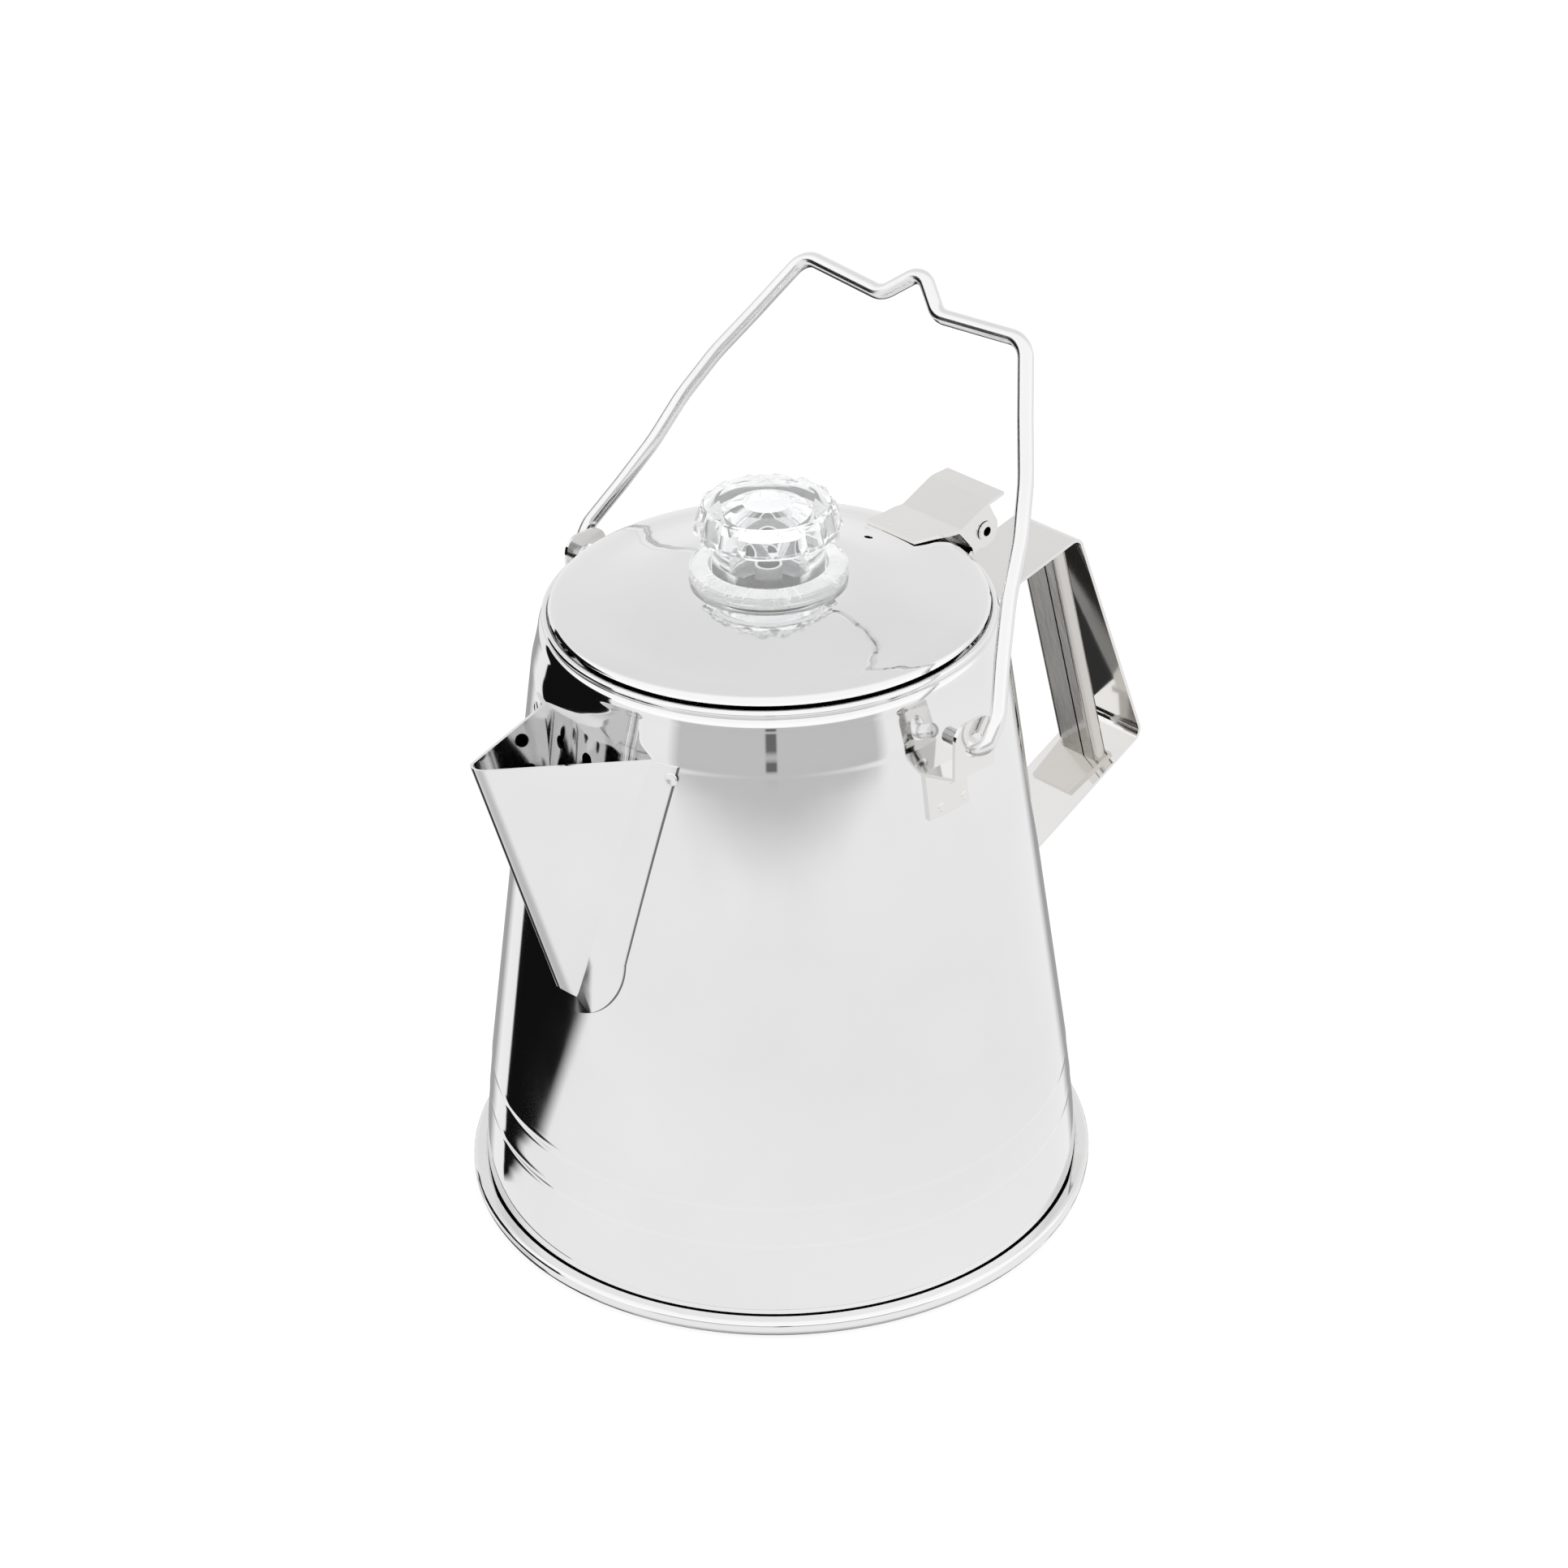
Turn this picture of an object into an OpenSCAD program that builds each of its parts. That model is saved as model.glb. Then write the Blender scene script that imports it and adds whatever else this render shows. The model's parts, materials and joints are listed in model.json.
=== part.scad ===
// Stove-top coffee percolator: conical sheet-steel pot with a folded spout, a bent-wire bail,
// a strap handle, a hinged lid with a clear knob, and the loose pump, basket and spreader inside.
// Millimetres, +Z up. Origin: centre of the base on the surface the pot stands on.
// The spout points along -Y, the strap handle along +Y, and the bail pivots about an X line.

/* [Pot] */
// Radius the cone of the pot would have at the standing surface
pot_base_r = 106.3; // [105:0.1:107]
// Radius of the cone at the shoulder
pot_top_r = 78.2; // [77.6:0.1:78.6]
// Height of the shoulder, where the cone ends
shoulder_z = 200; // [199:0.5:201]
// Sheet thickness of the pot, spout and lid
sheet_t = 0.9; // [0.8:0.05:1]
// Radius of the pot's mouth
mouth_r = 69.6; // [69.2:0.1:70]
// Radial size of each of the two swaged steps near the base
step_r = 0.6; // [0.3:0.1:0.8]
// Outer radius of the rolled base seam
base_ring_r = 108.3; // [107.8:0.1:109]
// Height of the rolled base seam
base_ring_h = 6.2; // [5.5:0.1:6.5]

/* [Spout] */
// Half of the angle between the two folded walls, across the crease
spout_half_angle = 27.4; // [24:0.1:30]
// Lean of the front crease away from the vertical
spout_lean = 17.1; // [15:0.1:18]
// Outer radius of the folded front edge
spout_nose_r = 4; // [3:0.1:5]
// Height of the lip at the front edge
spout_lip_z = 205; // [202:0.5:207]
// Diameter of each strainer hole through the pot wall
strainer_hole_d = 4.5; // [3:0.1:5]

/* [Bail] */
// Radius of the bail wire
wire_r = 2.6; // [2.3:0.1:2.8]
// Height of the bail's pivot axis
bail_z = 200.3; // [199.5:0.1:201]
// Backward lean of the bail, from upright towards the strap handle
bail_lean = 32.4; // [25:0.1:36]

/* [Strap handle] */
// Width of the outer strap
strap_w = 28.4; // [26:0.1:29]
// Thickness of the outer strap
strap_t = 1.2; // [1:0.1:1.5]
// Width of the rolled hand grip
grip_w = 20; // [18:0.5:22]
// Depth of the rolled hand grip
grip_d = 6; // [5:0.1:6.5]

/* [Lid] */
// Outer radius of the lid
lid_r = 72; // [71.5:0.1:72.4]
// Height of the lid's lower edge
lid_z = 218.1; // [217.9:0.1:218.6]
// Height of the flat crown under the knob
crown_z = 227.6; // [226.5:0.1:228]
// Outer radius of the fluted knob head
knob_r = 24.5; // [23.5:0.1:25]
// Number of flutes round the knob head
flutes = 14; // [12:1:16]

/* [Pump and basket] */
// Outer radius of the pump stem
stem_r = 4.5; // [4:0.1:4.8]
// Outer radius of the coffee basket
basket_r = 56; // [52:0.5:58]
// Height of the coffee basket
basket_h = 51; // [45:0.5:52]

/* [Hidden] */
$fn = 96;
taper = (pot_base_r - pot_top_r) / shoulder_z;
// Lower wall: [height, how far it stands out from the cone, in steps], bottom edge first
lower_wall = [[2.4, -3.6], [8, -2.7], [16, -1.8], [24, -1.4], [30, -1.15], [31.5, -1.1],
    [33, -0.7], [35, -0.65], [40, -0.5], [44, -0.4], [45.5, -0.35], [47, 0]];
body_gap = 0.35;                    // gap kept between pieces that move on each other
ear_t = 1.2;                        // sheet of the bail ears and hinge parts
far = 400;                          // larger than the whole percolator

// Bail ears
ear_w = 17.6;
ear_x = 93;                         // middle of the upright plate
ear_hole = [201, 4.2];              // height and radius of the wire hole
ear_tab_z = [172.6, 188.8];         // lower and upper end of the welded tab

// Hinge
pin_y = 86;
pin_z = 217.4;
pin_r = 2.5;
pin_fit = 0.08;                     // running clearance of the ears on the pin
leaf_half_w = 14;
knuckle_r = 4.2;

// Strap handle: centre line of the sheet in the Y-Z plane
strap_line = [[79.6, 186], [133, 198.3], [168.7, 106.6], [95.6, 71.4]];
strap_bend = 4;
grip_top = [127.2, 198];
grip_bottom = [153.6, 99];
tab_end_y = 137;

// Bail: centre line of the wire in the bail's own plane, as [across, outward] points and bend radii
bail_half = [[92, 0], [97.6, 0], [97.6, 11], [90.4, 28], [83.6, 46], [79.2, 64], [72, 82],
    [62.2, 100], [50.5, 122.6], [13, 120], [0, 131.5]];
bail_radii = [0, 4, 12, 60, 60, 60, 60, 60, 9, 8, 6];
hook_x = [81.6, 93];                // straight run of each hook, through the ear
hook_grow = 0.02;                   // the hooks are that much larger in radius than the rest

// Pump and basket heights
floor_z = 1;                        // inside face of the pot's bottom
basket_z = 146;                     // underside of the basket
collar_h = 2.4;
stem_top_z = 232;
bell_r = 38;

function cone_r(z) = pot_base_r - taper * z;
function reversed_half(p) = [for (i = [len(p) - 2 : -1 : 0]) [-p[i][0], p[i][1]]];
function reversed_list(v) = [for (i = [len(v) - 2 : -1 : 0]) v[i]];
function backwards(v) = [for (i = [len(v) - 1 : -1 : 0]) v[i]];
function seg_angle(a, b) = atan2(b[1] - a[1], b[0] - a[0]);
function wrap_angle(a) = a > 180 ? a - 360 : (a < -180 ? a + 360 : a);
function turn_at(p, i) = wrap_angle(seg_angle(p[i], p[i + 1]) - seg_angle(p[i - 1], p[i]));
function unit(v) = v / norm(v);

// Points round corner i of the line p, bent to the radius r
function bend(p, i, r) = let (
    t = turn_at(p, i),
    a = seg_angle(p[i - 1], p[i]),
    side = t > 0 ? 1 : -1,
    start = p[i] - r * tan(abs(t) / 2) * [cos(a), sin(a)],
    centre = start + side * r * [-sin(a), cos(a)],
    n = ceil(abs(t) / 10))
    [for (k = [0 : n]) centre + side * r * [sin(a + t * k / n), -cos(a + t * k / n)]];

// The line p with every inner corner bent to its radius in the list r
function bent_line(p, r) = concat([p[0]],
    [for (i = [1 : len(p) - 2]) for (q = bend(p, i, r[i])) q], [p[len(p) - 1]]);

function heading(q, i) = let (before = unit(q[max(i, 1)] - q[max(i, 1) - 1]),
    after = unit(q[min(i, len(q) - 2) + 1] - q[min(i, len(q) - 2)])) unit(before + after);
function beside(q, i, d) = q[i] + d * [-heading(q, i)[1], heading(q, i)[0]];

// Sheet of thickness t bent along the line q in the X-Y plane, and w wide along Z
module bent_strip(q, t, w) {
    translate([0, 0, -w / 2]) linear_extrude(w) polygon(concat(
        [for (i = [0 : len(q) - 1]) beside(q, i, t / 2)],
        backwards([for (i = [0 : len(q) - 1]) beside(q, i, -t / 2)])));
}

// Round wire of radius r bent along the line q in the X-Y plane
module bent_wire(q, r) {
    sides = 20;
    last = (len(q) - 1) * sides;
    polyhedron(
        points = [for (i = [0 : len(q) - 1]) for (k = [0 : sides - 1])
            let (at = beside(q, i, r * cos(360 * k / sides)))
            [at[0], at[1], r * sin(360 * k / sides)]],
        faces = concat(
            [for (i = [0 : len(q) - 2]) for (k = [0 : sides - 1])
                let (j = (k + 1) % sides, low = i * sides, high = low + sides)
                for (f = [[low + k, high + j, low + j], [low + k, high + k, high + j]]) f],
            [[for (k = [0 : sides - 1]) k]],
            [[for (k = [sides - 1 : -1 : 0]) last + k]]));
}

// Solid of the pot's cone, made larger by grow, between two heights
module cone_solid(grow, z0, z1) {
    translate([0, 0, z0])
        cylinder(h = z1 - z0, r1 = cone_r(z0) + grow, r2 = cone_r(z1) + grow);
}

// Curved sheet lying on the cone, of thickness t; the child bounds it
module cone_patch(t, z0, z1) {
    intersection() {
        difference() {
            cone_solid(t, z0, z1);
            cone_solid(0, z0 - 1, z1 + 1);
        }
        children();
    }
}

module keep_above(y, z, lean) {
    translate([0, y, z]) rotate([-lean, 0, 0])
        translate([-far / 2, -far / 2, 0]) cube([far, far, far]);
}

module keep_below(y, z, lean) {
    translate([0, y, z]) rotate([-lean, 0, 0])
        translate([-far / 2, -far / 2, -far]) cube([far, far, far]);
}

// ---------------------------------------------------------------- pot

function pot_outline(d) = concat(
    [for (w = lower_wall) [cone_r(w[0]) + w[1] * step_r - d, w[0]]],
    [[pot_top_r - d, shoulder_z]]);

// Rows of strainer holes behind the spout: [height, list of angles from the spout's middle]
strainer_rows = [[190, [-10.5, 0, 10.5]], [180, [-10, 0, 10]], [170, [-5.5, 5.5]],
    [160, [-5.5, 5.5]], [150, [0]], [140, [0]], [130, [0]]];

module pot_body() {
    shoulder_mid = [pot_top_r - 1.4, shoulder_z + 5];
    shoulder_top = [pot_top_r - 2.5, shoulder_z + 10];
    rim_out = [74.3, 214.2];
    color("silver") difference() {
        rotate_extrude($fn = 180) polygon(concat(
            pot_outline(0),
            [shoulder_mid, shoulder_top, [75.4, 212.4], rim_out, [mouth_r, 214.6],
                [mouth_r, 213.6], [73.5, 213.2], [74.4, 212.1],
                shoulder_top - [sheet_t, 0], shoulder_mid - [sheet_t, 0]],
            backwards(pot_outline(sheet_t))));
        for (row = strainer_rows)
            for (a = row[1])
                rotate([0, 0, a]) translate([0, -60, row[0]]) rotate([90, 0, 0])
                    cylinder(h = 45, d = strainer_hole_d, $fn = 32);
    }
}

module base_plate() {
    color("silver") rotate_extrude($fn = 180) polygon([
        [0, 0], [98, 0], [100, 1.4], [104.4, 1.4],
        [104.4, 2.4], [99.6, 2.4], [97.6, floor_z], [0, floor_z]]);
}

module base_ring() {
    inner = 104.4;
    top_bend = 1.7;
    foot_bend = 3;
    function arc(r, x, z, a0) = [for (k = [0 : 8])
        [x + r * cos(a0 + 90 * k / 8), z + r * sin(a0 + 90 * k / 8)]];
    color("silver") rotate_extrude($fn = 180) polygon(concat([[inner, 0]],
        arc(foot_bend, base_ring_r - foot_bend, foot_bend, -90),
        arc(top_bend, base_ring_r - top_bend, base_ring_h - top_bend, 0),
        [[inner, base_ring_h]]));
}

// Rolled bead round the mouth
module rim_ring() {
    bead_r = 1.3;
    color("silver") rotate_extrude($fn = 180) union() {
        translate([73, 215.6]) circle(r = bead_r, $fn = 32);
        translate([mouth_r, 214.6]) square([73 - mouth_r, 1]);
    }
}

// ---------------------------------------------------------------- spout

crease_top = [-120.5, 204.6];       // centre of the folded front edge at the lip, in Y and Z

module spout_fold(nose, reach) {
    centre_y = nose / sin(spout_half_angle);
    tangent = [nose * cos(spout_half_angle), centre_y - nose * sin(spout_half_angle)];
    translate([0, -centre_y]) {
        translate([0, centre_y]) circle(r = nose, $fn = 64);
        polygon([tangent, [reach * tan(spout_half_angle), reach],
            [-reach * tan(spout_half_angle), reach], [-tangent[0], tangent[1]]]);
    }
}

module spout_prism(nose) {
    translate([0, crease_top[0], crease_top[1]]) rotate([spout_lean, 0, 0])
        translate([0, 0, -110]) linear_extrude(135) spout_fold(nose, 62);
}

module spout() {
    bottom_cut = [-97.2, 112.6, 42.6];
    flange_top = 197.5;
    round_r = 22;
    round_z = 124;
    color("gainsboro") difference() {
        union() {
            intersection() {
                spout_prism(spout_nose_r);
                keep_above(bottom_cut[0], bottom_cut[1], bottom_cut[2]);
                keep_below(crease_top[0] - spout_nose_r, spout_lip_z, 7.6);
                translate([-60, -140, 90]) cube([120, 80, 130]);
            }
            intersection() {
                cone_solid(sheet_t, 90, flange_top);
                rotate([90, 0, 0]) linear_extrude(far / 2) union() {
                    translate([0, round_z]) circle(r = round_r, $fn = 96);
                    polygon([[-34.2, flange_top + 1], [-20.9, 119], [20.9, 119],
                        [34.2, flange_top + 1]]);
                }
            }
        }
        intersection() {
            spout_prism(spout_nose_r - sheet_t);
            keep_above(bottom_cut[0], bottom_cut[1] + 1.3 * sheet_t, bottom_cut[2]);
        }
        cone_solid(0, 60, shoulder_z + 5);
    }
}

// ---------------------------------------------------------------- bail and its ears

module ear() {
    plate_low = 192.4;
    top_round = 6;
    union() {
        cone_patch(ear_t, ear_tab_z[0], ear_tab_z[1])
            translate([0, -ear_w / 2, 0]) cube([far, ear_w, far]);
        // sloping shelf between the tab and the upright plate
        difference() {
            translate([0, ear_w / 2, 0]) rotate([90, 0, 0]) linear_extrude(ear_w) polygon([
                [76, ear_tab_z[1] - 2.2], [ear_x + ear_t / 2, plate_low - ear_t],
                [ear_x + ear_t / 2, plate_low], [76, ear_tab_z[1] - 1]]);
            cone_solid(0, 150, shoulder_z);
        }
        difference() {
            translate([ear_x - ear_t / 2, 0, 0]) rotate([90, 0, 90]) linear_extrude(ear_t)
                union() {
                    translate([-ear_w / 2, plate_low - ear_t])
                        square([ear_w, ear_hole[0] + 3 - plate_low + ear_t]);
                    translate([-ear_w / 2 + top_round, plate_low])
                        square([ear_w - 2 * top_round, ear_hole[0] + 9 - plate_low]);
                    for (s = [-1, 1])
                        translate([s * (ear_w / 2 - top_round), ear_hole[0] + 3])
                            circle(r = top_round, $fn = 48);
                }
            translate([ear_x - 5, 0, ear_hole[0]]) rotate([0, 90, 0])
                cylinder(h = 10, r = ear_hole[1], $fn = 64);
        }
    }
}

module ear_right() {
    color("gainsboro") ear();
}

module ear_left() {
    color("gainsboro") mirror([1, 0, 0]) ear();
}

module bail() {
    line = concat(bail_half, reversed_half(bail_half));
    radii = concat(bail_radii, reversed_list(bail_radii));
    color("lightgray") translate([0, 0, bail_z]) rotate([90 - bail_lean, 0, 0]) union() {
        bent_wire(bent_line(line, radii), wire_r);
        for (side = [-90, 90]) rotate([0, side, 0])
            translate([0, 0, hook_x[0]])
            cylinder(h = hook_x[1] - hook_x[0], r = wire_r + hook_grow);
    }
}

// ---------------------------------------------------------------- strap handle

// Turns a drawing in the Y-Z plane into place, with its thickness along X
module in_yz() {
    rotate([90, 0, 90]) children();
}

module handle_strap() {
    tab_h = 14;
    color("gainsboro") union() {
        difference() {
            in_yz() bent_strip(bent_line(strap_line, [0, strap_bend, strap_bend, 0]),
                strap_t, strap_w);
            cone_solid(0, 50, shoulder_z);
        }
        for (end_z = [strap_line[0][1], strap_line[3][1]])
            cone_patch(strap_t, end_z - tab_h, end_z)
                translate([-strap_w / 2, 0, 0]) cube([strap_w, far, far]);
    }
}

module grip_section(grow) {
    half = grip_w / 2 - grip_d / 2;
    union() {
        for (s = [-1, 1]) translate([0, s * half]) circle(r = grip_d / 2 + grow, $fn = 48);
        square([grip_d + 2 * grow, 2 * half], center = true);
    }
}

module handle_grip() {
    lean = atan2(grip_bottom[0] - grip_top[0], grip_top[1] - grip_bottom[1]);
    seam_x = 3;
    seam_w = 0.7;
    top_slope = atan2(strap_line[1][1] - strap_line[0][1], strap_line[1][0] - strap_line[0][0]);
    low_slope = atan2(strap_line[2][1] - strap_line[3][1], strap_line[2][0] - strap_line[3][0]);
    on_low = strap_line[3][1] + (grip_bottom[0] - strap_line[3][0]) * tan(low_slope);
    color("gainsboro") union() {
        intersection() {
            translate([0, grip_top[0], grip_top[1]]) rotate([lean, 0, 0])
                translate([0, 0, -120]) rotate([0, 0, 90]) linear_extrude(130) difference() {
                    grip_section(0);
                    grip_section(-sheet_t);
                    translate([-grip_d, -seam_x - seam_w / 2]) square([grip_d, seam_w]);
                }
            keep_below(strap_line[0][0], strap_line[0][1] - strap_t / 2 / cos(top_slope),
                -top_slope);
            keep_above(grip_bottom[0], on_low + strap_t / 2 / cos(low_slope), -low_slope);
        }
        // tapered tab lying on the lower run of the strap
        translate([0, strap_line[3][0], strap_line[3][1]]) rotate([low_slope, 0, 0])
            translate([0, 0, strap_t / 2]) linear_extrude(ear_t)
            polygon([[-9.2, (tab_end_y - strap_line[3][0]) / cos(low_slope)],
                [9.2, (tab_end_y - strap_line[3][0]) / cos(low_slope)],
                [11, (grip_bottom[0] + 3 - strap_line[3][0]) / cos(low_slope)],
                [-11, (grip_bottom[0] + 3 - strap_line[3][0]) / cos(low_slope)]]);
    }
}

// ---------------------------------------------------------------- lid hinge

module hinge_bracket() {
    web = [[75.2, 204.2], [76.6, 203.6], [85.6, 213.6], [84.2, 214.9]];
    half_w = leaf_half_w - ear_t - 0.5;
    color("gainsboro") difference() {
        union() {
            cone_patch(ear_t, 186.5 + 2, shoulder_z)
                translate([-half_w, 0, 0]) cube([2 * half_w, far, far]);
            difference() {
                translate([-half_w, 0, 0]) in_yz() linear_extrude(2 * half_w) union() {
                    polygon(web);
                    polygon([[79.2, 199.2], [79.6, 199.2], [79.6, 200.2], [77.4, 204.8],
                        [75.8, 204.4]]);
                    translate([pin_y, pin_z]) circle(r = knuckle_r, $fn = 64);
                }
                rotate_extrude($fn = 180) polygon([[0, 190], [cone_r(190), 190],
                    [pot_top_r, shoulder_z], [pot_top_r - 1.4, shoulder_z + 5],
                    [pot_top_r - 2.5, shoulder_z + 10], [0, shoulder_z + 10]]);
            }
        }
        translate([-far / 2, pin_y, pin_z]) rotate([0, 90, 0])
            cylinder(h = far, r = pin_r, $fn = 64);
    }
}

module hinge_pin() {
    head_r = 3.4;
    head_x = leaf_half_w + 0.3;
    color("darkgray") translate([0, pin_y, pin_z]) rotate([0, 90, 0]) difference() {
        union() {
            cylinder(h = 2 * head_x, r = pin_r, center = true, $fn = 64);
            for (s = [-1, 1]) translate([0, 0, s * (head_x + 0.35)])
                cylinder(h = 0.7, r = head_r, center = true, $fn = 64);
        }
        cylinder(h = far, r = pin_r - 0.8, center = true, $fn = 64);
    }
}

module hinge_leaf() {
    // one sheet: flat on the lid, then up over the pin into the thumb lever
    sheet_line = [[55, 222.9], [74.8, 221], [88.3, 227], [95.7, 227.8]];
    color("gainsboro") union() {
        intersection() {
            in_yz() bent_strip(bent_line(sheet_line, [0, 3, 5, 0]), ear_t, 2 * leaf_half_w);
            translate([0, 0, 210]) linear_extrude(30) polygon([[-11.4, 54], [11.4, 54],
                [12.6, 64], [leaf_half_w, 71], [leaf_half_w, 90], [leaf_half_w - 0.8, 97],
                [0.8 - leaf_half_w, 97], [-leaf_half_w, 90], [-leaf_half_w, 71], [-12.6, 64]]);
        }
        for (s = [-1, 1]) difference() {
            translate([s * (leaf_half_w - ear_t / 2) - ear_t / 2, 0, 0]) in_yz()
                linear_extrude(ear_t) union() {
                    translate([pin_y, pin_z]) circle(r = 6.1, $fn = 64);
                    polygon([[73.5, 220.8], [75, 221.2], [87.8, 226.8], [91.9, 219],
                        [81, 210], [79.8, 213.2]]);
                }
            translate([-far / 2, pin_y, pin_z]) rotate([0, 90, 0])
                cylinder(h = far, r = pin_r + pin_fit, $fn = 64);
        }
    }
}

// ---------------------------------------------------------------- lid and knob

lid_hole_r = 17;

lid_top = [[lid_hole_r, crown_z], [27, crown_z], [34, 226.9], [42, 225.2], [49, 223.5], [56, 222],
    [61, 221.3], [65, 220.9], [68, 220.4]];
function lid_outline(d) = [for (q = lid_top) [q[0], q[1] - d]];

module lid() {
    collar_r = 67.4;
    collar_low = 207;
    edge_t = 1.3;
    vent = [45, 1.5];
    color("silver") difference() {
        rotate_extrude($fn = 180) polygon(concat(lid_outline(0),
            [[70, 219.9], [71.3, 219.2], [lid_r, lid_z], [lid_r - edge_t, lid_z],
                [69.6, 219], [collar_r, 219.5], [collar_r, collar_low],
                [collar_r - sheet_t, collar_low], [collar_r - sheet_t, 219.7]],
            [for (i = [7 : -1 : 0]) lid_outline(sheet_t)[i]]));
        translate([0, vent[0], 215]) cylinder(h = 20, r = vent[1], $fn = 32);
    }
}

gasket_t = 0.7;
knob_z = crown_z + gasket_t;        // underside of the knob's flange

module knob() {
    head_low = 243;
    head_top = 253;
    bore_r = 13;
    color([0.93, 0.95, 0.96, 0.4]) difference() {
        union() {
            rotate_extrude() polygon([[0, 222], [16.4, 222], [16.4, knob_z], [25.4, knob_z],
                [26, knob_z + 0.6], [26, knob_z + 2.1], [25.2, knob_z + 2.7], [19.6, knob_z + 3.4],
                [18.6, knob_z + 6], [18.6, head_low], [21.8, head_low - 0.4], [22.6, 246],
                [20.4, head_top], [15.4, 254.6], [0, 254.6]]);
            for (i = [0 : flutes - 1]) rotate([0, 0, 360 / flutes * i])
                translate([knob_r - 5.2, 0, head_low]) rotate([0, -10, 0])
                cylinder(h = head_top - head_low - 1, r1 = 5.2, r2 = 4.2, $fn = 32);
        }
        translate([0, 0, 221]) cylinder(h = 24, r = bore_r);
        translate([0, 0, 244.9]) cylinder(h = 5, r1 = bore_r, r2 = 8);
    }
}

module knob_gasket() {
    color("white") translate([0, 0, crown_z]) difference() {
        cylinder(h = gasket_t, r = 25.2);
        translate([0, 0, -1]) cylinder(h = 3, r = lid_hole_r + 0.2);
    }
}

module knob_clip() {
    color("gray") translate([0, 0, crown_z - sheet_t - 1.6]) difference() {
        cylinder(h = 1.6, r = 20.5);
        translate([0, 0, -1]) cylinder(h = 4, r = 16.4);
    }
}

// ---------------------------------------------------------------- pump and basket

module pump_stem() {
    color("silver") difference() {
        translate([0, 0, 20]) cylinder(h = stem_top_z - 20, r = stem_r);
        translate([0, 0, 10]) cylinder(h = far, r = stem_r - 0.9);
    }
}

module stem_collar() {
    color("silver") translate([0, 0, basket_z - body_gap - collar_h]) difference() {
        cylinder(h = collar_h, r = stem_r + 3);
        translate([0, 0, -1]) cylinder(h = collar_h + 2, r = stem_r);
    }
}

// Bell foot that traps the steam, open below and ported round its rim
module pump_base() {
    foot = floor_z + 0.05;
    seat_z = 13.4;
    color("silver") difference() {
        rotate_extrude() polygon([[bell_r - 1, foot], [bell_r, foot], [bell_r, foot + 2.4],
            [30, 12.4], [16, 17.4], [9, 20], [stem_r - 0.9, 20], [stem_r - 0.9, 19], [8.8, 19],
            [8.8, seat_z + 0.9], [5, seat_z + 0.9], [5, seat_z], [9.7, seat_z], [9.7, 18.4],
            [15.6, 16.4], [29.4, 11.4], [bell_r - 1, foot + 1.9]]);
        for (a = [0 : 60 : 300]) rotate([0, 0, a]) translate([bell_r - 6, 0, foot - 1])
            translate([0, -3, 0]) cube([10, 6, 2.4]);
    }
}

// Loose disc in the bell's neck: it lifts to let water up the stem and drops to stop it
module pump_valve() {
    color("silver") translate([0, 0, 14.35]) cylinder(h = 0.8, r = 7.8);
}

module hole_rings(rings, d, z) {
    for (ring = rings)
        for (i = [0 : ring[1] - 1])
            rotate([0, 0, 360 / ring[1] * i]) translate([ring[0], 0, z - 2])
                cylinder(h = 4, d = d, $fn = 24);
}

module basket() {
    t = 0.9;
    color("silver") difference() {
        rotate_extrude($fn = 128) polygon([[9, basket_z], [basket_r - 3, basket_z],
            [basket_r, basket_z + 3], [basket_r, basket_z + basket_h - 1.2],
            [basket_r + 1.6, basket_z + basket_h - 1.2], [basket_r + 1.6, basket_z + basket_h],
            [basket_r - t, basket_z + basket_h], [basket_r - t, basket_z + 3.4],
            [basket_r - 3.4, basket_z + t], [9, basket_z + t]]);
        hole_rings([[18, 8], [30, 14], [42, 20]], 2.4, basket_z + t / 2);
    }
}

// Centre tube of the basket, which slides on the stem
module basket_tube() {
    color("silver") rotate_extrude() polygon([
        [stem_r + body_gap, basket_z], [9, basket_z], [9, basket_z + 0.9],
        [stem_r + body_gap + 0.9, basket_z + 2.4], [stem_r + body_gap + 0.9, basket_z + 24],
        [stem_r + body_gap, basket_z + 24]]);
}

// Perforated cover that spreads the water over the grounds
module spreader() {
    low = basket_z + basket_h + body_gap;
    t = 0.9;
    color("silver") difference() {
        rotate_extrude($fn = 128) polygon([[stem_r + 1.2, low + 1.6], [20, low + 1.6],
            [24, low], [basket_r + 1, low], [basket_r + 1, low + t], [24.4, low + t],
            [20.4, low + 1.6 + t], [stem_r + 1.2, low + 1.6 + t]]);
        hole_rings([[29, 12], [38, 16], [47, 20]], 2, low + t / 2);
    }
}

pot_body();
base_plate();
base_ring();
rim_ring();
spout();
ear_right();
ear_left();
bail();
handle_strap();
handle_grip();
hinge_bracket();
hinge_pin();
hinge_leaf();
lid();
knob();
knob_gasket();
knob_clip();
pump_stem();
stem_collar();
pump_base();
pump_valve();
basket();
basket_tube();
spreader();
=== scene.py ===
import bpy, bmesh, json, math
from mathutils import Matrix, Vector

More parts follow.
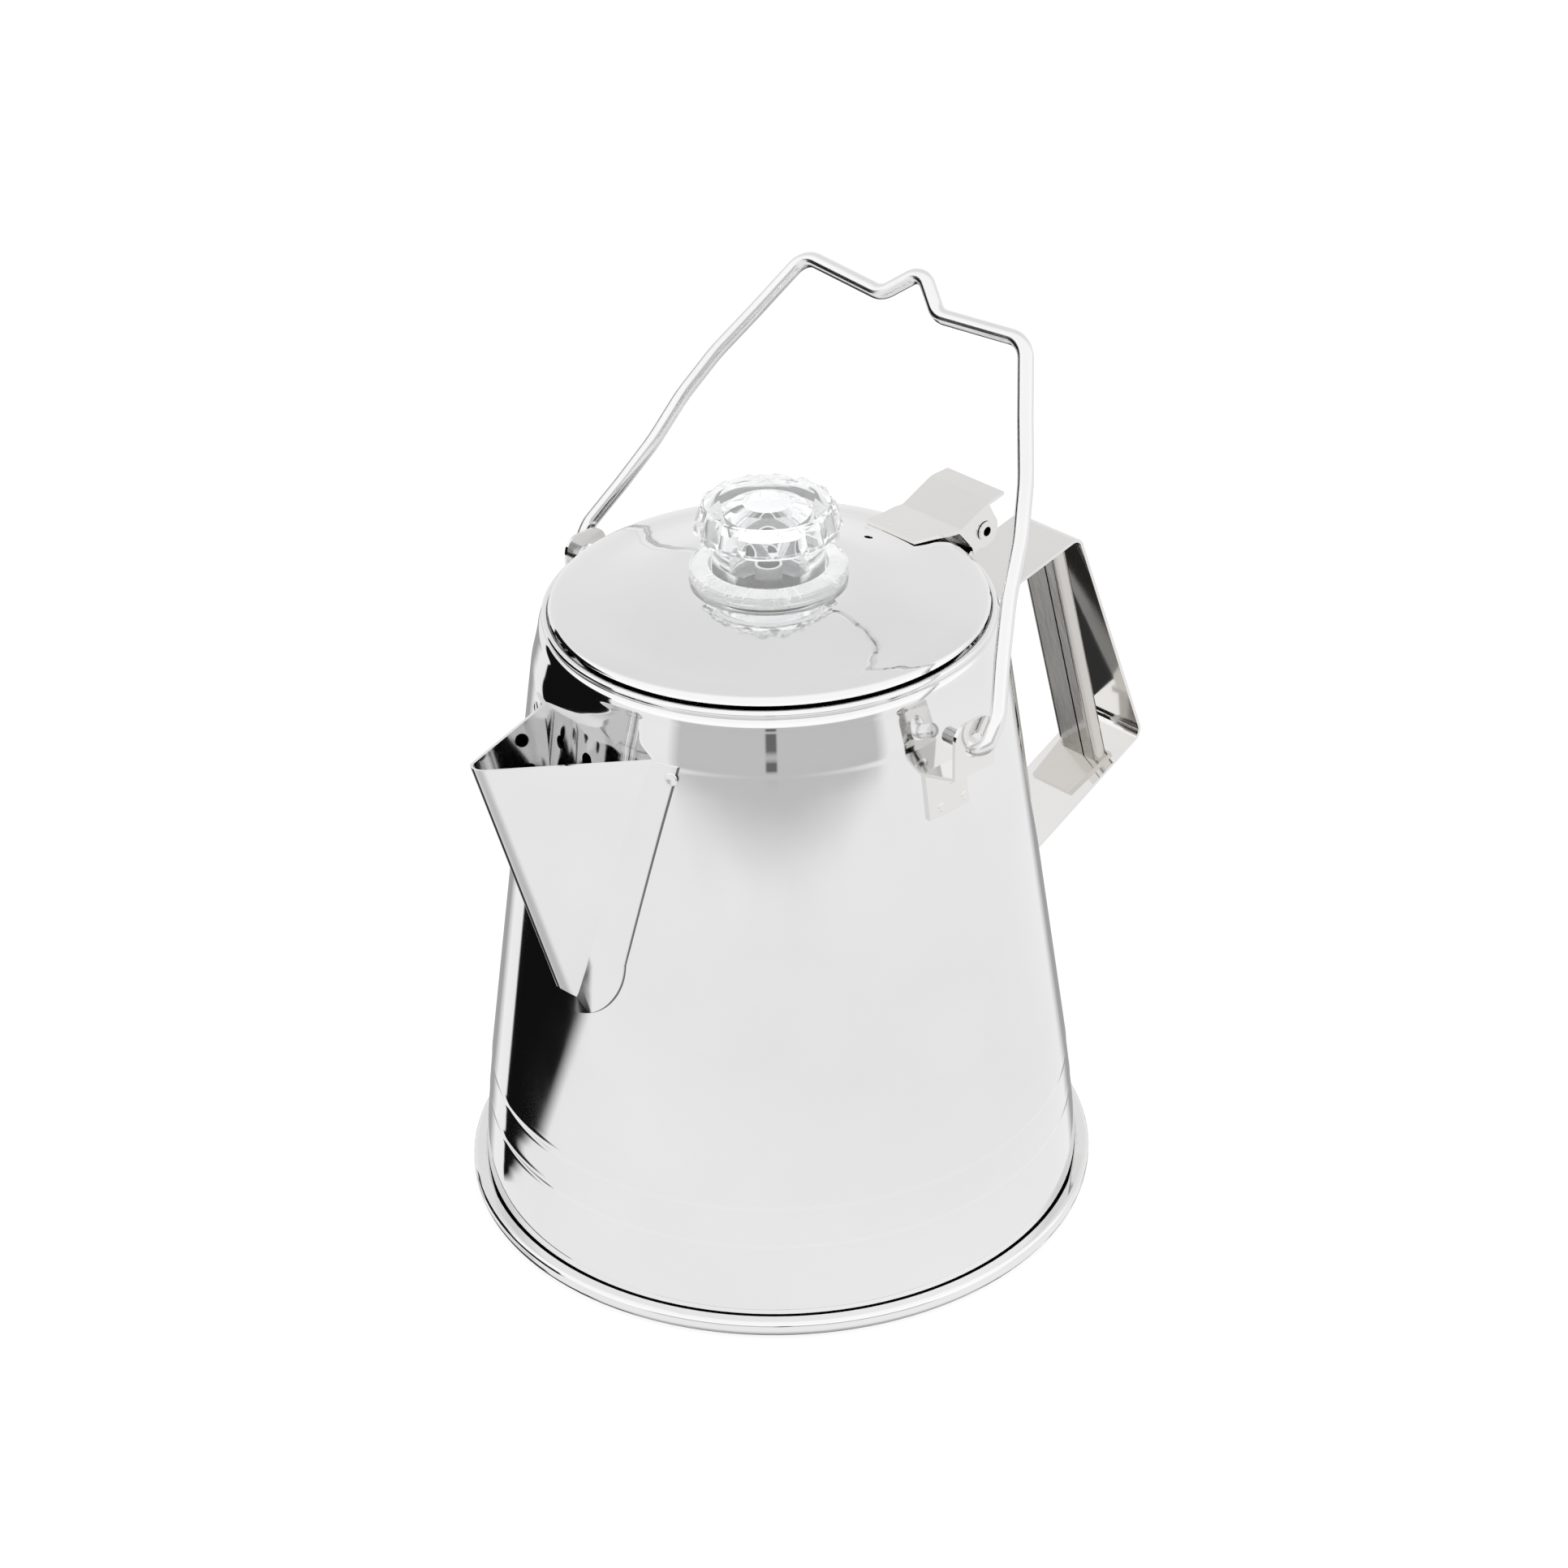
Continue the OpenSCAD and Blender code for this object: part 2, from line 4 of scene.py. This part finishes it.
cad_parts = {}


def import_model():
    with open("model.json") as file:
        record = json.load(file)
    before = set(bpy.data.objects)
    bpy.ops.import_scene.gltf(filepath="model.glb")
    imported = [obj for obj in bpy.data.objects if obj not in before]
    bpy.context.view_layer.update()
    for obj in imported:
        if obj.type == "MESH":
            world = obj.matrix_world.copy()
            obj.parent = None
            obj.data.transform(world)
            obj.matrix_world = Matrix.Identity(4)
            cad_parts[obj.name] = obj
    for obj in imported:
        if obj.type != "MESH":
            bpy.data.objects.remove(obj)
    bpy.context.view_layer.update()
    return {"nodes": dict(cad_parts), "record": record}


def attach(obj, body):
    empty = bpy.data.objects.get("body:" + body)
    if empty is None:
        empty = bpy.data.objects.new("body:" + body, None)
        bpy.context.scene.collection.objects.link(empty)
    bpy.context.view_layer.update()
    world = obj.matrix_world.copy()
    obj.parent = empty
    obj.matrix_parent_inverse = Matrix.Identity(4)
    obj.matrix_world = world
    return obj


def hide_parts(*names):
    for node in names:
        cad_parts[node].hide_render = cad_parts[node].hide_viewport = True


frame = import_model()

MM = 0.001

# Sizes shared with the CAD, in millimetres and degrees
CONE_BASE_R = 106.3
TAPER = 0.1405
SHEET = 0.9
FITTING_SHEET = 1.2     # the ears and the strap
WIRE_R = 2.6
BAIL_Z = 200.3
BAIL_LEAN = 32.4
TONGUE_R = 22
TONGUE_Z = 124
FLANGE_TOP = (34.2, 197.5)

SHARP = math.radians(40)
DEGREES = math.degrees(1)
WHITE = (1, 1, 1, 1)

scene = bpy.context.scene
scene.view_settings.view_transform = "Standard"
scene.view_settings.look = "None"
scene.view_settings.exposure = 0.0
scene.view_settings.gamma = 1.0


# ------------------------------------------------------------------ node helpers

class Nodes:
    """A short way to write a node tree."""

    def __init__(self, tree):
        self.tree = tree
        tree.nodes.clear()

    def add(self, kind, links=None, **sockets):
        node = self.tree.nodes.new(kind)
        for name, value in sockets.items():
            if hasattr(node, name):
                setattr(node, name, value)
            else:
                node.inputs[name].default_value = value
        for name, source in (links or {}).items():
            self.link(source, node.inputs[name])
        return node

    def link(self, source, target):
        self.tree.links.new(source, target)

    def math(self, operation, a, b=None, clamp=False):
        node = self.tree.nodes.new("ShaderNodeMath")
        node.operation = operation
        node.use_clamp = clamp
        for i, value in enumerate([a, b]):
            if value is None:
                continue
            if isinstance(value, (int, float)):
                node.inputs[i].default_value = value
            else:
                self.link(value, node.inputs[i])
        return node.outputs[0]

    def ramp(self, source, stops, smooth=False):
        node = self.tree.nodes.new("ShaderNodeValToRGB")
        ramp = node.color_ramp
        ramp.interpolation = "EASE" if smooth else "LINEAR"
        while len(ramp.elements) < len(stops):
            ramp.elements.new(0.5)
        for element, (at, value) in zip(ramp.elements, stops):
            element.position = at
            element.color = value if isinstance(value, tuple) else (value, value, value, 1)
        self.link(source, node.inputs["Fac"])
        return node.outputs["Color"]


def cone_r(z):
    """Radius of the pot's cone at a height."""
    return CONE_BASE_R - TAPER * z


def noise(t, scale, detail=3.0, stretch=(1, 1, 1), rough=0.5):
    where = t.add("ShaderNodeTexCoord").outputs["Object"]
    fit = t.add("ShaderNodeMapping", {"Vector": where})
    fit.inputs["Scale"].default_value = stretch
    out = t.add("ShaderNodeTexNoise", {"Vector": fit.outputs["Vector"]})
    out.inputs["Scale"].default_value = scale
    out.inputs["Detail"].default_value = detail
    out.inputs["Roughness"].default_value = rough
    return out.outputs["Fac"]


def steel(name, tone, rough, rough_spread, lines=None, line_depth=0.0, wave=0.0,
          tint=(1.0, 1.0, 1.0)):
    """Stainless sheet: tone is its brightness, and lines the stretch of its polishing lines."""
    mat = bpy.data.materials.new(name)
    mat.use_nodes = True
    t = Nodes(mat.node_tree)
    cloud = noise(t, 14.0, 4.0)
    smear = noise(t, 55.0, 5.0, (1, 1, 0.35))
    low, high = tone - 0.035, tone + 0.02
    colour = t.ramp(cloud, [
        (0.25, (low * tint[0], low * tint[1], low * tint[2], 1)),
        (0.75, (high * tint[0], high * tint[1], high * tint[2], 1))])
    rough_out = t.ramp(smear, [(0.3, rough), (0.8, rough + rough_spread)])
    shader = t.add("ShaderNodeBsdfPrincipled", {"Base Color": colour, "Roughness": rough_out})
    shader.inputs["Metallic"].default_value = 1.0
    height = None
    if lines is not None:
        bump = t.add("ShaderNodeBump", {"Height": noise(t, 1.0, 2.0, lines, 0.6)})
        bump.inputs["Strength"].default_value = line_depth
        bump.inputs["Distance"].default_value = 0.0004
        height = bump.outputs["Normal"]
    if wave:
        slow = noise(t, 9.0, 1.0, (1, 1, 0.6))
        dent = t.add("ShaderNodeBump", {"Height": slow})
        dent.inputs["Strength"].default_value = wave
        dent.inputs["Distance"].default_value = 0.002
        if height is not None:
            t.link(height, dent.inputs["Normal"])
        height = dent.outputs["Normal"]
    if height is not None:
        t.link(height, shader.inputs["Normal"])
    t.add("ShaderNodeOutputMaterial", {"Surface": shader.outputs["BSDF"]})
    return mat


def clear_resin():
    mat = bpy.data.materials.new("clear_resin")
    mat.use_nodes = True
    t = Nodes(mat.node_tree)
    cloud = noise(t, 60.0, 2.0)
    colour = t.ramp(cloud, [(0.3, (0.96, 0.97, 0.98, 1)), (0.8, (1.0, 1.0, 1.0, 1))])
    shader = t.add("ShaderNodeBsdfPrincipled", {"Base Color": colour})
    shader.inputs["Roughness"].default_value = 0.01
    shader.inputs["IOR"].default_value = 1.5
    shader.inputs["Transmission Weight"].default_value = 1.0
    # the white emission is a painted glow that lightens the clear resin
    shader.inputs["Emission Color"].default_value = WHITE
    shader.inputs["Emission Strength"].default_value = 0.035
    bump = t.add("ShaderNodeBump", {"Height": noise(t, 90.0, 1.0)})
    bump.inputs["Strength"].default_value = 0.04
    bump.inputs["Distance"].default_value = 0.0006
    t.link(bump.outputs["Normal"], shader.inputs["Normal"])
    haze = t.add("ShaderNodeBsdfDiffuse", {"Color": colour})
    both = t.add("ShaderNodeMixShader")
    both.inputs[0].default_value = 0.08
    t.link(shader.outputs["BSDF"], both.inputs[1])
    t.link(haze.outputs["BSDF"], both.inputs[2])
    t.add("ShaderNodeOutputMaterial", {"Surface": both.outputs["Shader"]})
    return mat


def seal_rubber():
    mat = bpy.data.materials.new("seal")
    mat.use_nodes = True
    t = Nodes(mat.node_tree)
    colour = t.ramp(noise(t, 120.0), [(0.3, (0.90, 0.90, 0.89, 1)), (0.7, (0.97, 0.97, 0.96, 1))])
    rough_out = t.ramp(noise(t, 200.0), [(0.3, 0.15), (0.7, 0.3)])
    shader = t.add("ShaderNodeBsdfPrincipled", {"Base Color": colour, "Roughness": rough_out})
    shader.inputs["Transmission Weight"].default_value = 0.85
    # the white emission is a painted glow that lightens the seal
    shader.inputs["Emission Color"].default_value = WHITE
    shader.inputs["Emission Strength"].default_value = 0.1
    shader.inputs["IOR"].default_value = 1.4
    t.add("ShaderNodeOutputMaterial", {"Surface": shader.outputs["BSDF"]})
    return mat


MATS = {
    "polished_steel": steel("polished_steel", 0.85, 0.03, 0.05, None, 0.0, 0.02),
    "formed_steel": steel("formed_steel", 0.82, 0.05, 0.06, (500, 60, 60), 0.02, 0.08,
                          tint=(1.0, 0.99, 0.975)),
    "wire_steel": steel("wire_steel", 0.84, 0.16, 0.08, (300, 300, 30), 0.05, 0.0),
    "inner_steel": steel("inner_steel", 0.74, 0.22, 0.12, (60, 60, 400), 0.06, 0.0),
    "clear_resin": clear_resin(),
    "seal": seal_rubber(),
    # painted shade: a dark steel for the shadow line round the spout's flange
    "gap": steel("gap", 0.22, 0.35, 0.2),
    "grip_steel": steel("grip_steel", 0.66, 0.12, 0.10, (300, 300, 40), 0.05, 0.05,
                        tint=(1.0, 0.97, 0.925)),
}

for part in frame["record"]["subparts"]:
    node = frame["nodes"][part["node"]]
    node.data.materials.clear()
    node.data.materials.append(MATS[part["material_slot"]])
frame["nodes"]["handle_grip"].data.materials[0] = MATS["grip_steel"]


# ------------------------------------------------------------------ mesh helpers

def piece(name, verts, faces, slot, body, *stands_for):
    """A smooth-shaded mesh in millimetres that rides on a body."""
    mesh = bpy.data.meshes.new(name)
    mesh.from_pydata([Vector(v) * MM for v in verts], [], faces)
    mesh.validate()
    bm = bmesh.new()
    bm.from_mesh(mesh)
    bmesh.ops.remove_doubles(bm, verts=bm.verts, dist=1e-6)
    bmesh.ops.recalc_face_normals(bm, faces=bm.faces)
    bm.to_mesh(mesh)
    bm.free()
    mesh.materials.append(MATS[slot])
    mesh.shade_smooth()
    obj = bpy.data.objects.new(name, mesh)
    scene.collection.objects.link(obj)
    if stands_for:
        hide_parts(*stands_for)
    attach(obj, body)
    return obj


def bend(p, i, r):
    """Points round corner i of the line p, bent to radius r."""
    before = math.atan2(p[i][1] - p[i - 1][1], p[i][0] - p[i - 1][0])
    after = math.atan2(p[i + 1][1] - p[i][1], p[i + 1][0] - p[i][0])
    turn = (after - before + math.pi) % (2 * math.pi) - math.pi
    side = 1 if turn > 0 else -1
    cut = r * math.tan(abs(turn) / 2)
    sx, sy = p[i][0] - cut * math.cos(before), p[i][1] - cut * math.sin(before)
    cx, cy = sx - side * r * math.sin(before), sy + side * r * math.cos(before)
    n = max(4, math.ceil(abs(turn) / math.radians(3)))
    return [(cx + side * r * math.sin(before + turn * k / n),
             cy - side * r * math.cos(before + turn * k / n)) for k in range(n + 1)]


def bent_line(p, r):
    line = [p[0]]
    for i in range(1, len(p) - 1):
        line += bend(p, i, r[i]) if r[i] else [p[i]]
    return line + [p[-1]]


def headings(line):
    """Unit direction of the line at each of its points."""
    steps = [Vector((b[0] - a[0], b[1] - a[1])).normalized() for a, b in zip(line, line[1:])]
    mids = [(a + b).normalized() for a, b in zip(steps, steps[1:])]
    return [steps[0]] + mids + [steps[-1]]


def wire(line, radius, sides=32):
    """Vertices and faces of a round wire along a flat line of (across, outward) points."""
    verts, faces = [], []
    for (x, y), u in zip(line, headings(line)):
        for k in range(sides):
            a = 2 * math.pi * k / sides
            verts.append((x - u.y * radius * math.cos(a), y + u.x * radius * math.cos(a),
                          radius * math.sin(a)))
    for i in range(len(line) - 1):
        for k in range(sides):
            j = (k + 1) % sides
            faces.append((i * sides + k, i * sides + j, (i + 1) * sides + j, (i + 1) * sides + k))
    faces += [tuple(range(sides)), tuple((len(line) - 1) * sides + k for k in range(sides))]
    return verts, faces


# ------------------------------------------------------------------ turned sheets

def smooth_line(p, steps=8):
    """A smooth curve through the points p."""
    line = []
    for i in range(len(p) - 1):
        a, b = Vector(p[i]), Vector(p[i + 1])
        before = Vector(p[i - 1]) if i else a * 2 - b
        after = Vector(p[i + 2]) if i + 2 < len(p) else b * 2 - a
        ta = (b - before) * (b - a).length / ((b - a).length + (a - before).length)
        tb = (after - a) * (b - a).length / ((after - b).length + (b - a).length)
        for k in range(steps):
            t = k / steps
            line.append(tuple(a * (2 * t ** 3 - 3 * t * t + 1) + ta * (t ** 3 - 2 * t * t + t)
                              + b * (3 * t * t - 2 * t ** 3) + tb * (t ** 3 - t * t)))
    return line + [tuple(p[-1])]


def lathe(name, section, slot, body, stands_for, holes, sides=240):
    """The section, closed, turned round Z; holes are (at, direction, radius) bores through it."""
    verts, faces, n = [], [], len(section)
    for i in range(sides):
        a = 2 * math.pi * i / sides
        verts += [(q[0] * math.cos(a), q[0] * math.sin(a), q[1]) for q in section]
    for i in range(sides):
        for k in range(n):
            j = (i + 1) % sides
            faces.append((i * n + k, i * n + (k + 1) % n, j * n + (k + 1) % n, j * n + k))
    obj = piece(name, verts, faces, slot, body, *stands_for)
    bores = bmesh.new()
    for at, direction, radius in holes:
        turn = Vector((0, 0, 1)).rotation_difference(Vector(direction)).to_matrix().to_4x4()
        bmesh.ops.create_cone(bores, cap_ends=True, segments=32, radius1=radius * MM,
                              radius2=radius * MM, depth=20 * MM,
                              matrix=Matrix.Translation(Vector(at) * MM) @ turn)
    mesh = bpy.data.meshes.new(name + "_bores")
    bores.to_mesh(mesh)
    bores.free()
    tool = bpy.data.objects.new(name + "_bores", mesh)
    scene.collection.objects.link(tool)
    cut = obj.modifiers.new("holes", "BOOLEAN")
    cut.operation, cut.solver, cut.object = "DIFFERENCE", "EXACT", tool
    done = bpy.data.meshes.new_from_object(obj.evaluated_get(
        bpy.context.evaluated_depsgraph_get()))
    obj.modifiers.clear()
    obj.data = done
    bpy.data.objects.remove(tool)
    obj.data.shade_smooth()
    obj.data.set_sharp_from_angle(angle=SHARP)


def make_lid():
    top = smooth_line([(17, 227.6), (27, 227.6), (34, 226.9), (42, 225.2), (49, 223.5), (56, 222),
                       (61, 221.3), (65, 220.9), (68, 220.4), (70, 219.9), (71.3, 219.2),
                       (72, 218.1)])
    under = smooth_line([(66.5, 219.7), (65, 220), (61, 220.4), (56, 221.1), (49, 222.6),
                         (42, 224.3), (34, 226), (27, 226.7), (17, 226.7)])
    edge = [(71.9, 217.9), (71.4, 217.7), (70.9, 217.9), (70.7, 218.4), (69.6, 219),
            (67.4, 219.5), (67.4, 207), (66.5, 207)]
    lathe("lid_sheet", top + edge + under, "polished_steel", "lid", ["lid"],
          [((0, 45, 224.5), (0, 0.24, 1), 1.5)])


def make_wall():
    low = [(2.4, -2.16), (8, -1.6), (16, -1.05), (24, -0.8), (30, -0.68), (31.5, -0.66),
           (33, -0.42), (35, -0.4), (40, -0.3), (44, -0.24), (45.5, -0.22), (47, -0.01),
           (49, 0), (52, 0)]
    foot = smooth_line([(cone_r(z) + out, z) for z, out in low])
    cone = [(cone_r(z), z) for z in range(56, 192, 4)]
    neck = smooth_line([(78.9, 195), (78.2, 199.6), (76.9, 204.8), (75.8, 209.6), (75.3, 212.3),
                        (74.3, 214.0), (72.6, 214.6), (69.6, 214.6)])
    outer = foot + cone + neck
    under_rim = 32          # points of the neck that lie below its rim
    inner = [(r - SHEET, z) for r, z in foot + cone + neck[:under_rim]] + [
        (74.2, 212.6), (73.4, 213.4), (72.4, 213.7), (69.6, 213.7)]
    holes, strainer_r = [], 2.25
    for z, angles in ((190, (-10.5, 0, 10.5)), (180, (-10, 0, 10)), (170, (-5.5, 5.5)),
                      (160, (-5.5, 5.5)), (150, (0,)), (140, (0,)), (130, (0,))):
        for a in angles:
            out = (math.sin(math.radians(a)), -math.cos(math.radians(a)), 0)
            r = cone_r(z)
            holes.append(((r * out[0], r * out[1], z), out, strainer_r))
    lathe("pot_wall", outer + inner[::-1], "polished_steel", "pot", ["pot_body"], holes)


make_lid()
make_wall()


# ------------------------------------------------------------------ edges and seams

def soften(node, width, segments=2):
    bevel = frame["nodes"][node].modifiers.new("rounded edges", "BEVEL")
    bevel.width, bevel.segments, bevel.limit_method = width * MM, segments, "ANGLE"
    bevel.angle_limit = SHARP
    bevel.harden_normals = True


for name in ("handle_strap", "handle_grip", "ear_right", "ear_left", "hinge_leaf", "spout"):
    soften(name, 0.2)
frame["nodes"]["knob"].visible_shadow = False


# ------------------------------------------------------------------ bail

def make_bail():
    half = [(81.6, 0), (97.6, 0), (97.6, 11), (90.4, 28), (83.6, 46), (79.2, 64), (72, 82),
            (62.2, 100), (50.5, 122.6), (13, 120), (0, 131.5)]
    radii = [0, 4, 12, 60, 60, 60, 60, 60, 9, 8, 6]
    line = bent_line(half + [(-x, y) for x, y in half[-2::-1]], radii + radii[-2::-1])
    verts, faces = wire(line, WIRE_R)
    lean = math.radians(90 - BAIL_LEAN)
    turn = Matrix.Translation((0, 0, BAIL_Z)) @ Matrix.Rotation(lean, 4, "X")
    piece("bail_wire", [turn @ Vector(v) for v in verts], faces, "wire_steel", "bail", "bail")


make_bail()


# ------------------------------------------------------------------ spot welds

def weld(name, at, normal, body, slot, radius=2.0):
    """A spot weld: a shallow round dent with a soft lip."""
    profile = [(0.45, 0.04), (0.62, 0.10), (0.75, 0.15), (0.88, 0.11), (1.0, -0.05)]
    z = Vector(normal).normalized()
    x = z.orthogonal().normalized()
    y = z.cross(x)
    verts, faces, n = [], [], 28
    for r, h in profile:
        for k in range(n):
            a = 2 * math.pi * k / n
            verts.append(Vector(at) + (x * math.cos(a) + y * math.sin(a)) * r * radius + z * h)
    for i in range(len(profile) - 1):
        for k in range(n):
            j = (k + 1) % n
            faces.append((i * n + k, i * n + j, (i + 1) * n + j, (i + 1) * n + k))
    faces.append(tuple(range(n)))
    piece(name, verts, faces, slot, body)


def on_cone(angle, z, lift):
    """Point and outward normal at an angle from the spout's middle, lift outside the wall."""
    a, r = math.radians(angle), cone_r(z) + lift
    n = Vector((math.sin(a), -math.cos(a), TAPER))
    return (r * math.sin(a), -r * math.cos(a), z), n


for side, name in ((1, "right"), (-1, "left")):
    for i, (y, z) in enumerate([(2, 183), (7, 175.5), (-3.5, 175.5)]):
        radius = cone_r(z) + FITTING_SHEET
        angle = math.degrees(math.atan2(side, -y / radius))
        at, n = on_cone(angle, z, FITTING_SHEET)
        weld("ear_weld_%s_%d" % (name, i), at, n, "pot", "formed_steel", 1.5)
    at, n = on_cone(side * 24.2, 193.4, SHEET)
    weld("spout_weld_%s" % name, at, n, "pot", "polished_steel", 2.2)
    weld("leaf_weld_%s" % name, (side * 4.5, 59.5, 223.08), (0, 0.1, 1), "lid", "formed_steel",
         1.2)
    for i, z in enumerate((178, 63.5)):
        at, n = on_cone(180 + side * 5.2, z, FITTING_SHEET)
        weld("strap_weld_%s_%d" % (name, i), at, n, "pot", "formed_steel", 2.0)


# ------------------------------------------------------------------ spout flange edge, with a painted shadow line

def painted_seam_shadow():
    """A dark strip round the spout's flange where it lies on the wall: painted shade for the thin
    shadow gap there.
    """
    turns = [math.radians(a) for a in range(4, -185, -4)]
    n = 12
    side = [(FLANGE_TOP[0] - 12.2 * k / n, FLANGE_TOP[1] - 72 * k / n) for k in range(n)]
    path = side + [(TONGUE_R * math.cos(a), TONGUE_Z + TONGUE_R * math.sin(a))
                   for a in turns] + [(-x, z) for x, z in side[::-1]]
    verts, faces = [], []
    lift = 0.05             # above the wall
    for (x, z), u in zip(path, headings(path)):
        for out in (-0.15, 0.35):
            px, pz = x + u.y * -out, z + u.x * out
            r = cone_r(pz) + lift
            verts.append((px, -math.sqrt(r * r - px * px), pz))
    for i in range(len(path) - 1):
        faces.append((2 * i, 2 * i + 1, 2 * i + 3, 2 * i + 2))
    # the strip takes the dark steel: painted shade, not a part of the pot
    piece("spout_flange_gap", verts, faces, "seal", "pot").data.materials[0] = MATS["gap"]


painted_seam_shadow()


# ------------------------------------------------------------------ stage

def world():
    w = bpy.data.worlds.new("studio")
    scene.world = w
    w.use_nodes = True
    t = Nodes(w.node_tree)
    where = t.add("ShaderNodeTexCoord").outputs["Generated"]
    split = t.add("ShaderNodeSeparateXYZ", {"Vector": where})
    x, y, z = split.outputs
    # azimuth in degrees, 0 towards -Y and 90 towards +X; elevation in degrees
    az = t.math("MULTIPLY", t.math("ARCTAN2", x, t.math("MULTIPLY", y, -1.0)), DEGREES)
    el = t.math("MULTIPLY", t.math("ARCSINE", z), DEGREES)

    def step(value, at, soft):
        # 0 below at, 1 above it, over a width of soft
        return t.math("ADD", t.math("DIVIDE", t.math("SUBTRACT", value, at), soft), 0.5, True)

    def between(value, low, high, soft):
        return t.math("MULTIPLY", step(value, low, soft),
                      t.math("SUBTRACT", 1.0, step(value, high, soft)))

    # a tall dark flag to the left of the spout, with a slanted foot
    foot = t.math("ADD", t.math("MULTIPLY", t.math("ADD", az, 37.5), 0.206), -22.1)
    flag = t.math("MULTIPLY", between(az, -86.5, -33.0, 1.5),
                  step(t.math("SUBTRACT", el, foot), 0.0, 0.8))
    flag = t.math("MULTIPLY", flag, t.math("SUBTRACT", 1.0, step(el, 13.0, 3.0)))
    # the grey open side of the studio, in front, with a darker stand in it
    room = t.math("MULTIPLY", between(az, 2.0, 98.0, 6.0), between(el, -15.2, 4.0, 1.2))
    stand = t.math("MULTIPLY", between(az, 44.5, 49.5, 1.0), between(el, -12.5, -1.0, 3.0))
    # dark floor to the left and behind, which the spout's left side mirrors, and the grey edge
    # of the floor behind the pot, which its outline mirrors
    behind = t.math("MULTIPLY", between(az, -165.0, -60.0, 4.0), between(el, -65.0, -38.0, 3.0))
    far_edge = t.math("MULTIPLY", between(az, -160.0, -104.0, 10.0),
                      between(el, -38.0, -18.0, 6.0))
    # the light by height: dim straight below, white round the horizon, greyer overhead
    height = t.math("MULTIPLY_ADD", el, 1.0 / 180.0)
    height.node.inputs[2].default_value = 0.5
    sky = t.ramp(height, [(0.0, 0.40), (0.17, 0.55), (0.25, 0.95), (0.40, 0.93), (0.5, 0.95),
                          (0.62, 0.88), (0.75, 0.84), (1.0, 0.84)], True)
    # the big soft box stands over the front of the pot; behind it the ceiling is greyer
    front = t.math("SUBTRACT", t.math("MULTIPLY", x, 0.737), t.math("MULTIPLY", y, 0.676))
    box = t.math("MULTIPLY", step(front, -0.42, 0.22), step(el, 8.0, 8.0))
    gain = t.math("ADD", t.math("MULTIPLY", box, 0.30), 1.0)
    scaled = t.add("ShaderNodeVectorMath", operation="SCALE")
    t.link(sky, scaled.inputs[0])
    t.link(gain, scaled.inputs["Scale"])
    sky = scaled.outputs["Vector"]
    level = t.math("SUBTRACT", 1.0, t.math("MULTIPLY", flag, 0.997))
    level = t.math("MULTIPLY", level, t.math("SUBTRACT", 1.0, t.math("MULTIPLY", room, 0.38)))
    for zone, dark in ((stand, 0.75), (behind, 0.96), (far_edge, 0.6)):
        level = t.math("MULTIPLY", level, t.math("SUBTRACT", 1.0, t.math("MULTIPLY", zone, dark)))
    shade = t.add("ShaderNodeMixRGB", {"Color2": sky, "Fac": level})
    shade.inputs["Color1"].default_value = (0.003, 0.003, 0.003, 1)
    seen = t.add("ShaderNodeLightPath").outputs["Is Camera Ray"]
    final = t.add("ShaderNodeMixRGB", {"Fac": seen, "Color1": shade.outputs["Color"]})
    final.inputs["Color2"].default_value = WHITE
    back = t.add("ShaderNodeBackground", {"Color": final.outputs["Color"]})
    back.inputs["Strength"].default_value = 1.0
    t.add("ShaderNodeOutputWorld", {"Surface": back.outputs["Background"]})


world()


def floor():
    size, z = 6.0, -0.0002
    mesh = bpy.data.meshes.new("floor")
    mesh.from_pydata([(-size, -size, z), (size, -size, z), (size, size, z), (-size, size, z)],
                     [], [(0, 1, 2, 3)])
    obj = bpy.data.objects.new("floor", mesh)
    scene.collection.objects.link(obj)
    mat = bpy.data.materials.new("floor")
    mat.use_nodes = True
    t = Nodes(mat.node_tree)
    paper = t.add("ShaderNodeBsdfDiffuse")
    paper.inputs["Color"].default_value = (0.35, 0.35, 0.35, 1)
    glow = t.add("ShaderNodeEmission")
    glow.inputs["Color"].default_value = WHITE
    glow.inputs["Strength"].default_value = 0.72
    both = t.add("ShaderNodeAddShader")
    t.link(paper.outputs[0], both.inputs[0])
    t.link(glow.outputs[0], both.inputs[1])
    t.add("ShaderNodeOutputMaterial", {"Surface": both.outputs[0]})
    mesh.materials.append(mat)
    obj.visible_glossy = False


floor()


def camera():
    """Seen from the pot's spout side and its right, 30 degrees above the horizon."""
    azimuth, elevation, roll = math.radians(47.5), math.radians(30.208), -0.0206
    distance = 1.24622
    back = Vector((math.sin(azimuth) * math.cos(elevation),
                   -math.cos(azimuth) * math.cos(elevation), math.sin(elevation)))
    right = Vector((math.cos(azimuth), math.sin(azimuth), 0))
    up = back.cross(right)
    right, up = (right * math.cos(roll) + up * math.sin(roll),
                 up * math.cos(roll) - right * math.sin(roll))
    target = Vector((0.0024, 0.0026, 0.1483))
    data = bpy.data.cameras.new("camera")
    data.lens, data.sensor_width = 85.58, 36.0
    data.clip_start, data.clip_end = 0.05, 50.0
    cam = bpy.data.objects.new("camera", data)
    scene.collection.objects.link(cam)
    cam.matrix_world = Matrix.Translation(target + back * distance) @ Matrix(
        (right, up, back)).transposed().to_4x4()
    scene.camera = cam


camera()
